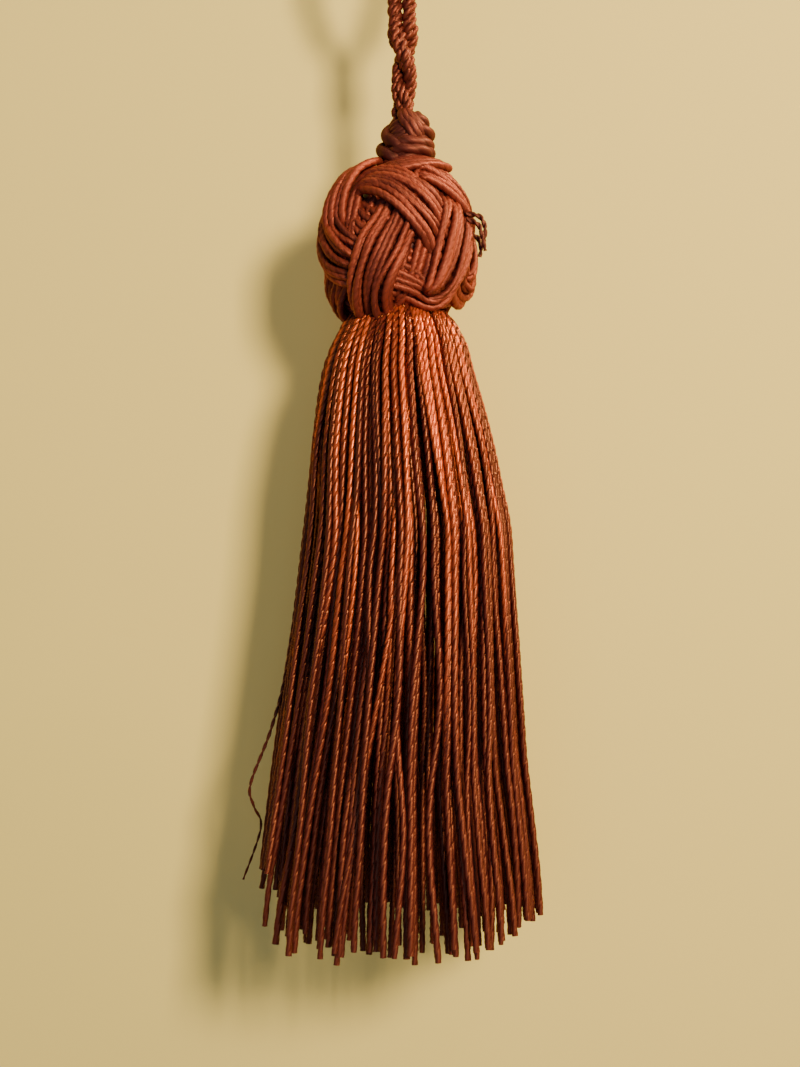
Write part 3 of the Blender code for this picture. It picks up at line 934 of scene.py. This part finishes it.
def skirt_strand(angle, ring, inset, chance):
    """The centre line of one strand, from under the head to its cut end."""
    end = HEM_DROP + np.clip(chance.normal(0, HEM_UNEVEN), *HEM_UNEVEN_LIMITS)
    for row in HEM_SHORT_ROWS:
        hem = dict(zip(HEM_SHORT_COLUMNS, row))
        past = hem["steepness"] * (hem["side"] * math.cos(angle) - hem["starts_at"])
        end -= hem["short"] * np.clip(past, 0, 1) * (1 - inset)
    root_drops = np.array([-1.4, 0.2, 1.6, 3.2]) * MM
    drop = np.concatenate([root_drops, np.linspace(6.5 * MM, end, STRAND_POINTS)])
    fall = np.clip(drop / HEM_DROP, 0, 1)
    outline = np.interp(drop, skirt_table["drop"], skirt_table["radius"])
    centre = np.interp(drop, skirt_table["drop"], skirt_table["centre_x"])
    loosened = np.clip(fall * 3, 0, 1)
    crosses = chance.uniform(0, 1) < CROSSING_SHARE
    lean = chance.normal(0, CROSSING_LEAN if crosses else STRAND_LEAN) * fall
    lean = lean + lock_pull(angle, ring) * LOCK_PULLS[ring] * loosened
    lean = lean - LEFT_LEAN * fall**2 * math.sin(2 * angle) * (math.cos(angle) < 0)
    waver = smooth_noise(len(drop), 7, STRAND_WAVER, chance) * loosened
    turned = angle + lean + waver
    depth = inset + chance.uniform(0.0, 0.05) + np.clip(chance.normal(0, 0.03), -0.02, 0.06) * fall
    depth = depth - 0.03 * crosses * loosened
    sway = smooth_noise(len(drop), 7, STRAND_SWAY, chance) * loosened
    radius = outline * (1 - depth) + sway
    x = centre + radius * np.cos(turned)
    y = radius * np.sin(turned)
    return np.stack([x, y, ROOT_TOP - drop], 1)


skirt_yarn = yarn_finish(
    "skirt_yarn",
    deep=(0.080, 0.011, 0.010),
    lit=(0.86, 0.134, 0.036),
    beads=1.1,
    fade=50.0,
    # The skirt's colour darkens down its strands as painted shade, and its gloss roughens.
    dull=3.3,
    filaments=4.0,
    run=450.0,
    relief=0.6,
    groove=0.45,
    straight=0.70,
    roughness=0.22,
    gloss_tint=(1.0, 0.48, 0.12),
)
skirt_pieces = []
for ring, row in enumerate(RING_ROWS):
    made = dict(zip(RING_COLUMNS, row))
    routes = {"front": [], "back": []}
    for index in range(made["strands"]):
        place = index + 0.5 * (ring % 2) + chance.uniform(-0.28, 0.28)
        angle = math.tau * place / made["strands"] + math.pi
        # The outermost ring is made in two halves, and the others whole, as a front.
        half = "front" if ring > 0 or math.sin(angle) < 0 else "back"
        routes[half].append(
            {
                "points": skirt_strand(angle, ring, made["inset"], chance),
                "tone": chance.uniform(0, 1) ** 1.8,
                "phase": chance.uniform(0, 1),
                "thickness": chance.uniform(0.84, 1.10),
            }
        )
    for half, strands in routes.items():
        if not strands:
            continue
        skirt_pieces.append(
            spun(
                f"skirt_ring_{ring + 1}_{half}",
                strands,
                skirt_yarn,
                half_width=STRAND_HALF_WIDTH,
                ply_pitch=PLY_PITCH,
                step=made["step_mm"] * MM,
                ring_points=made["ring_points"],
                waist=STRAND_WAIST,
                untwist=UNTWIST,
            )
        )
for piece in skirt_pieces:
    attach(piece, "root")
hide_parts("skirt")


# The stray. One strand has sprung out of the skirt at the left, frayed thin at
# its end.
STRAY_COLUMNS = ("x", "y", "drop")
STRAY_ROWS = (
    (-9.2, 0.0, 3.0),
    (-10.9, 0.0, 9.0),
    (-12.8, 0.0, 26.0),
    (-15.2, 0.0, 45.0),
    (-17.4, -0.3, 54.0),
    (-20.2, -0.2, 61.5),
    (-19.8, 0.3, 64.5),
    (-18.9, 0.8, 67.5),
    (-21.3, 1.2, 74.5),
)
STRAY_HALF_WIDTH = 0.8 * STRAND_HALF_WIDTH
STRAY_PLY_PITCH = 1.3 * PLY_PITCH
stray_points = np.array(STRAY_ROWS) * MM
below = STRAY_COLUMNS.index("drop")
stray_points[:, below] = ROOT_TOP - stray_points[:, below]
stray_thickness = np.linspace(1.0, 0.5, len(stray_points))
stray = spun(
    "stray_strand",
    [{"points": stray_points, "tone": 0.3, "thickness": stray_thickness}],
    skirt_yarn,
    half_width=STRAY_HALF_WIDTH,
    ply_pitch=STRAY_PLY_PITCH,
    step=0.36 * MM,
    ring_points=8,
    waist=0.36,
)
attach(stray, "root")


# The wall that the tassel hangs against, painted a warm cream, a pale floor well
# below, and soft lamps: the main one from the right and nearly level, one at the
# far right that lights that edge, and weak ones above, in front and behind.
WALL_Y = 21.5 * MM
FLOOR_Z = -0.70
STAGE_HALF = 1.2
STAGE_TOP = 1.0
LIT_POINT = (0, 0, -80 * MM)


def flat_square(name, corners, material):
    """A flat piece of the stage with these four corners."""
    mesh = bpy.data.meshes.new(name)
    mesh.from_pydata(corners, [], [(0, 1, 2, 3)])
    mesh.materials.append(material)
    square = bpy.data.objects.new(name, mesh)
    bpy.context.scene.collection.objects.link(square)
    return square


wall_paint = bpy.data.materials.new("wall_paint")
wall_paint.use_nodes = True
wall_tree = wall_paint.node_tree
wall_shader = wall_tree.nodes["Principled BSDF"]
wall_shader.inputs["Roughness"].default_value = 0.85
wall_shader.inputs["Base Color"].default_value = (0.65, 0.475, 0.13, 1)
see_through = node(wall_tree, "ShaderNodeBsdfTransparent")
behind = node(wall_tree, "ShaderNodeNewGeometry")
either = node(wall_tree, "ShaderNodeMixShader")
wall_tree.links.new(behind.outputs["Backfacing"], either.inputs[0])
wall_tree.links.new(wall_shader.outputs[0], either.inputs[1])
wall_tree.links.new(see_through.outputs[0], either.inputs[2])
wall_tree.links.new(either.outputs[0], wall_tree.nodes["Material Output"].inputs[0])
wall = flat_square(
    "wall",
    [
        (-STAGE_HALF, WALL_Y, FLOOR_Z),
        (STAGE_HALF, WALL_Y, FLOOR_Z),
        (STAGE_HALF, WALL_Y, STAGE_TOP),
        (-STAGE_HALF, WALL_Y, STAGE_TOP),
    ],
    wall_paint,
)
wall.visible_shadow = False
floor_paint = bpy.data.materials.new("floor_paint")
floor_paint.use_nodes = True
floor_shader = floor_paint.node_tree.nodes["Principled BSDF"]
floor_shader.inputs["Base Color"].default_value = (0.66, 0.60, 0.48, 1)
floor_shader.inputs["Roughness"].default_value = 0.8
flat_square(
    "floor",
    [
        (-STAGE_HALF, -STAGE_HALF, FLOOR_Z),
        (STAGE_HALF, -STAGE_HALF, FLOOR_Z),
        (STAGE_HALF, STAGE_HALF, FLOOR_Z),
        (-STAGE_HALF, STAGE_HALF, FLOOR_Z),
    ],
    floor_paint,
)


def soft_lamp(name, azimuth, elevation, distance, size, power, colour):
    """A square lamp that faces the tassel's middle."""
    data = bpy.data.lights.new(name, "AREA")
    data.energy = power
    data.size = size
    data.color = colour
    lamp = bpy.data.objects.new(name, data)
    a, e = math.radians(azimuth), math.radians(elevation)
    away = Vector((math.sin(a) * math.cos(e), -math.cos(a) * math.cos(e), math.sin(e)))
    lamp.location = Vector(LIT_POINT) + away * distance
    lamp.rotation_euler = away.to_track_quat("Z", "Y").to_euler()
    bpy.context.scene.collection.objects.link(lamp)


soft_lamp("key", 22, 16, 0.42, 0.08, 3.8, (1.0, 0.88, 0.58))
soft_lamp("ceiling", 20, 78, 0.36, 0.04, 0.3, (1.0, 0.84, 0.58))
soft_lamp("edge", 86, 40, 0.42, 0.08, 3.4, (1.0, 0.80, 0.46))
soft_lamp("fill", -10, -4, 0.6, 0.4, 0.95, (0.30, 0.54, 1.0))
soft_lamp("back", 165, 30, 0.6, 0.4, 1.2, (1.0, 0.90, 0.76))
world = bpy.data.worlds.new("room")
world.use_nodes = True
world.node_tree.nodes["Background"].inputs["Color"].default_value = (0.48, 0.68, 1.0, 1)
world.node_tree.nodes["Background"].inputs["Strength"].default_value = 0.22
bpy.context.scene.world = world
